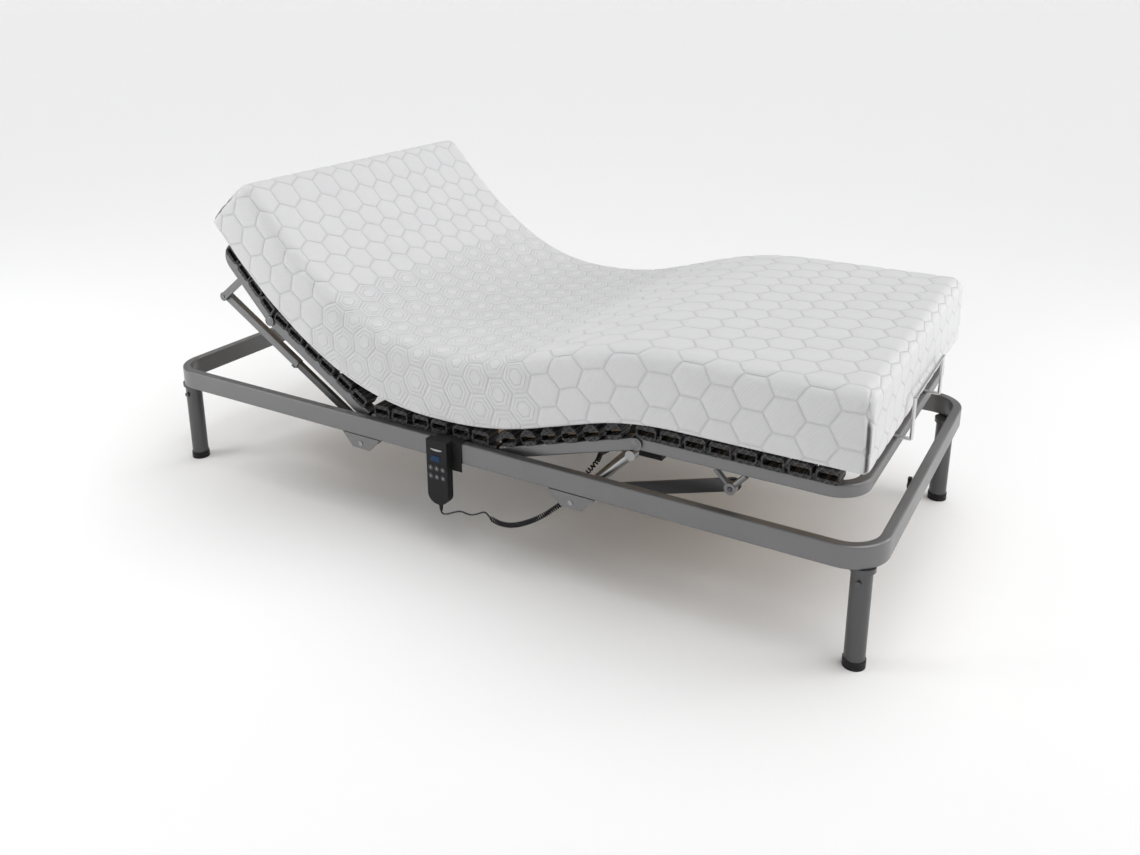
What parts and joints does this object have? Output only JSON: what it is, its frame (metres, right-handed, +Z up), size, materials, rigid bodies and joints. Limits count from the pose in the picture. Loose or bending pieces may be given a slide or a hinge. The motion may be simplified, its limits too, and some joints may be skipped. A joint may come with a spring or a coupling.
{
  "type": "adjustable bed base",
  "caption": "Adjustable bed base with jointed slatted sections, lift shafts, a hidden drive, a corded handset and its mattress, shown raised.",
  "frame": {"origin": "on the floor, in the middle of the rectangle of the four leg ends", "axes": "+X along the bed towards the foot end, +Y across it towards the sleeper's left, +Z up"},
  "size_m": [2, 0.9281, 0.8507],
  "materials": {
    "frame_paint": "satin",
    "leg_paint": "satin",
    "black_plastic": "matte",
    "steel": "satin",
    "dark_steel": "satin",
    "bright_wire": "polished",
    "white_plastic": "matte",
    "handset": "fine texture",
    "button": "satin",
    "cord": "satin",
    "rubber": "matte",
    "slat_wood": "satin",
    "mattress": "soft knit"
  },
  "bodies": {
    "chassis": {"right_side_rail": "frame_paint", "left_side_rail": "frame_paint", "head_end_rail": "frame_paint", "foot_end_rail": "frame_paint", "leg_sockets": "leg_paint", "leg_head_right": "leg_paint", "leg_head_left": "leg_paint", "leg_foot_right": "leg_paint", "leg_foot_left": "leg_paint", "leg_caps": "black_plastic", "leg_bolts": "steel", "pivot_plates": "frame_paint", "seat_frame": "frame_paint", "seat_holders": "rubber", "seat_slats": "slat_wood", "seat_mattress": "mattress", "seat_hinge_pins": "steel", "drive_tray": "black_plastic", "drive_lid": "black_plastic", "drive_motors": "steel", "handset_holder": "black_plastic", "handset_case": "handset", "handset_face": "handset", "handset_relief": "black_plastic", "handset_lead": "cord", "handset_curl": "cord"},
    "back": {"back_frame": "frame_paint", "back_holders": "rubber", "back_slats": "slat_wood", "back_mattress": "mattress", "neck_hinge_pins": "steel"},
    "head": {"head_bow": "frame_paint", "head_holders": "rubber", "head_slats": "slat_wood", "head_mattress": "mattress"},
    "head_link": {"head_link_tubes": "frame_paint"},
    "head_link_rod": {"head_link_rods": "dark_steel"},
    "back_shaft": {"back_shaft": "steel"},
    "back_slider": {"back_slider": "white_plastic"},
    "thigh": {"thigh_tubes": "frame_paint", "thigh_holders": "rubber", "thigh_slats": "slat_wood", "thigh_mattress": "mattress", "knee_hinge_pins": "steel"},
    "foot": {"foot_bow": "frame_paint", "foot_brackets": "frame_paint", "foot_holders": "rubber", "foot_slats": "slat_wood", "foot_mattress": "mattress", "mattress_retainer": "bright_wire"},
    "foot_link": {"foot_links": "dark_steel"},
    "knee_shaft": {"knee_shaft": "steel"},
    "knee_slider": {"knee_slider": "white_plastic"},
    "wing_knob": {"wing_knob": "black_plastic"},
    "button_1": {"button_1": "button"},
    "button_2": {"button_2": "button"},
    "button_3": {"button_3": "button"},
    "button_4": {"button_4": "button"},
    "button_5": {"button_5": "button"},
    "button_6": {"button_6": "button"}
  },
  "joints": [
    {"name": "back_hinge", "type": "hinge", "parent": "chassis", "child": "back", "pos_m": [-0.29, 0, 0.27], "axis": [0, 1, 0], "range_deg": [-33, 22]},
    {"name": "neck_hinge", "type": "hinge", "parent": "back", "child": "head", "pos_m": [-0.61037, 0, 0.47805], "axis": [0, 1, 0], "range_deg": [-14, 9.4]},
    {"name": "head_link_swing", "type": "hinge", "parent": "head", "child": "head_link", "pos_m": [-0.78596, 0, 0.51532], "axis": [0, 1, 0], "range_deg": [-7.3, 10.9]},
    {"name": "head_link_slide", "type": "slide", "parent": "head_link", "child": "head_link_rod", "axis": [0.8498, 0, -0.5271], "range_m": [-0.0457, 0.0305]},
    {"name": "back_shaft_turn", "type": "hinge", "parent": "chassis", "child": "back_shaft", "pos_m": [-0.297, 0, 0.212], "axis": [0, 1, 0], "range_deg": [-29.4, 19.6]},
    {"name": "back_slider_travel", "type": "slide", "parent": "chassis", "child": "back_slider", "axis": [-1, 0, 0], "range_m": [-0.0146, 0.0098]},
    {"name": "thigh_hinge", "type": "hinge", "parent": "chassis", "child": "thigh", "pos_m": [0.103, 0, 0.27], "axis": [0, -1, 0], "range_deg": [-17, 14]},
    {"name": "knee_hinge", "type": "hinge", "parent": "thigh", "child": "foot", "pos_m": [0.46257, 0, 0.37993], "axis": [0, -1, 0], "range_deg": [-14, 17]},
    {"name": "foot_link_swing", "type": "hinge", "parent": "chassis", "child": "foot_link", "pos_m": [0.315, 0, 0.212], "axis": [0, -1, 0], "range_deg": [-17, 14]},
    {"name": "knee_shaft_turn", "type": "hinge", "parent": "chassis", "child": "knee_shaft", "pos_m": [0.315, 0, 0.212], "axis": [0, -1, 0], "range_deg": [-36.6, 30.2]},
    {"name": "knee_slider_travel", "type": "slide", "parent": "chassis", "child": "knee_slider", "axis": [1, 0, 0], "range_m": [-0.0183, 0.0151]},
    {"name": "wing_knob_turn", "type": "hinge", "parent": "chassis", "child": "wing_knob", "pos_m": [0.978, -0.075, 0.259], "axis": [1, 0, 0], "continuous": true},
    {"name": "button_1_press", "type": "slide", "parent": "chassis", "child": "button_1", "axis": [0, 1, 0], "range_m": [0, 0.0006], "stiffness_N_per_m": 600, "springref_m": -0.0004},
    {"name": "button_2_press", "type": "slide", "parent": "chassis", "child": "button_2", "axis": [0, 1, 0], "range_m": [0, 0.0006], "stiffness_N_per_m": 600, "springref_m": -0.0004},
    {"name": "button_3_press", "type": "slide", "parent": "chassis", "child": "button_3", "axis": [0, 1, 0], "range_m": [0, 0.0006], "stiffness_N_per_m": 600, "springref_m": -0.0004},
    {"name": "button_4_press", "type": "slide", "parent": "chassis", "child": "button_4", "axis": [0, 1, 0], "range_m": [0, 0.0006], "stiffness_N_per_m": 600, "springref_m": -0.0004},
    {"name": "button_5_press", "type": "slide", "parent": "chassis", "child": "button_5", "axis": [0, 1, 0], "range_m": [0, 0.0006], "stiffness_N_per_m": 600, "springref_m": -0.0004},
    {"name": "button_6_press", "type": "slide", "parent": "chassis", "child": "button_6", "axis": [0, 1, 0], "range_m": [0, 0.0006], "stiffness_N_per_m": 600, "springref_m": -0.0004}
  ],
  "couplings": [
    {"joint": "neck_hinge", "follows": "back_hinge", "ratio": 0.4242},
    {"joint": "head_link_swing", "follows": "back_hinge", "ratio": -0.33},
    {"joint": "head_link_slide", "follows": "back_hinge", "m_per_rad": 0.0791},
    {"joint": "back_shaft_turn", "follows": "back_hinge", "ratio": 0.885},
    {"joint": "back_slider_travel", "follows": "back_hinge", "m_per_rad": 0.0245},
    {"joint": "knee_hinge", "follows": "thigh_hinge", "ratio": -1},
    {"joint": "foot_link_swing", "follows": "thigh_hinge", "ratio": 1},
    {"joint": "knee_shaft_turn", "follows": "thigh_hinge", "ratio": 2.147},
    {"joint": "knee_slider_travel", "follows": "thigh_hinge", "m_per_rad": 0.0601}
  ]
}
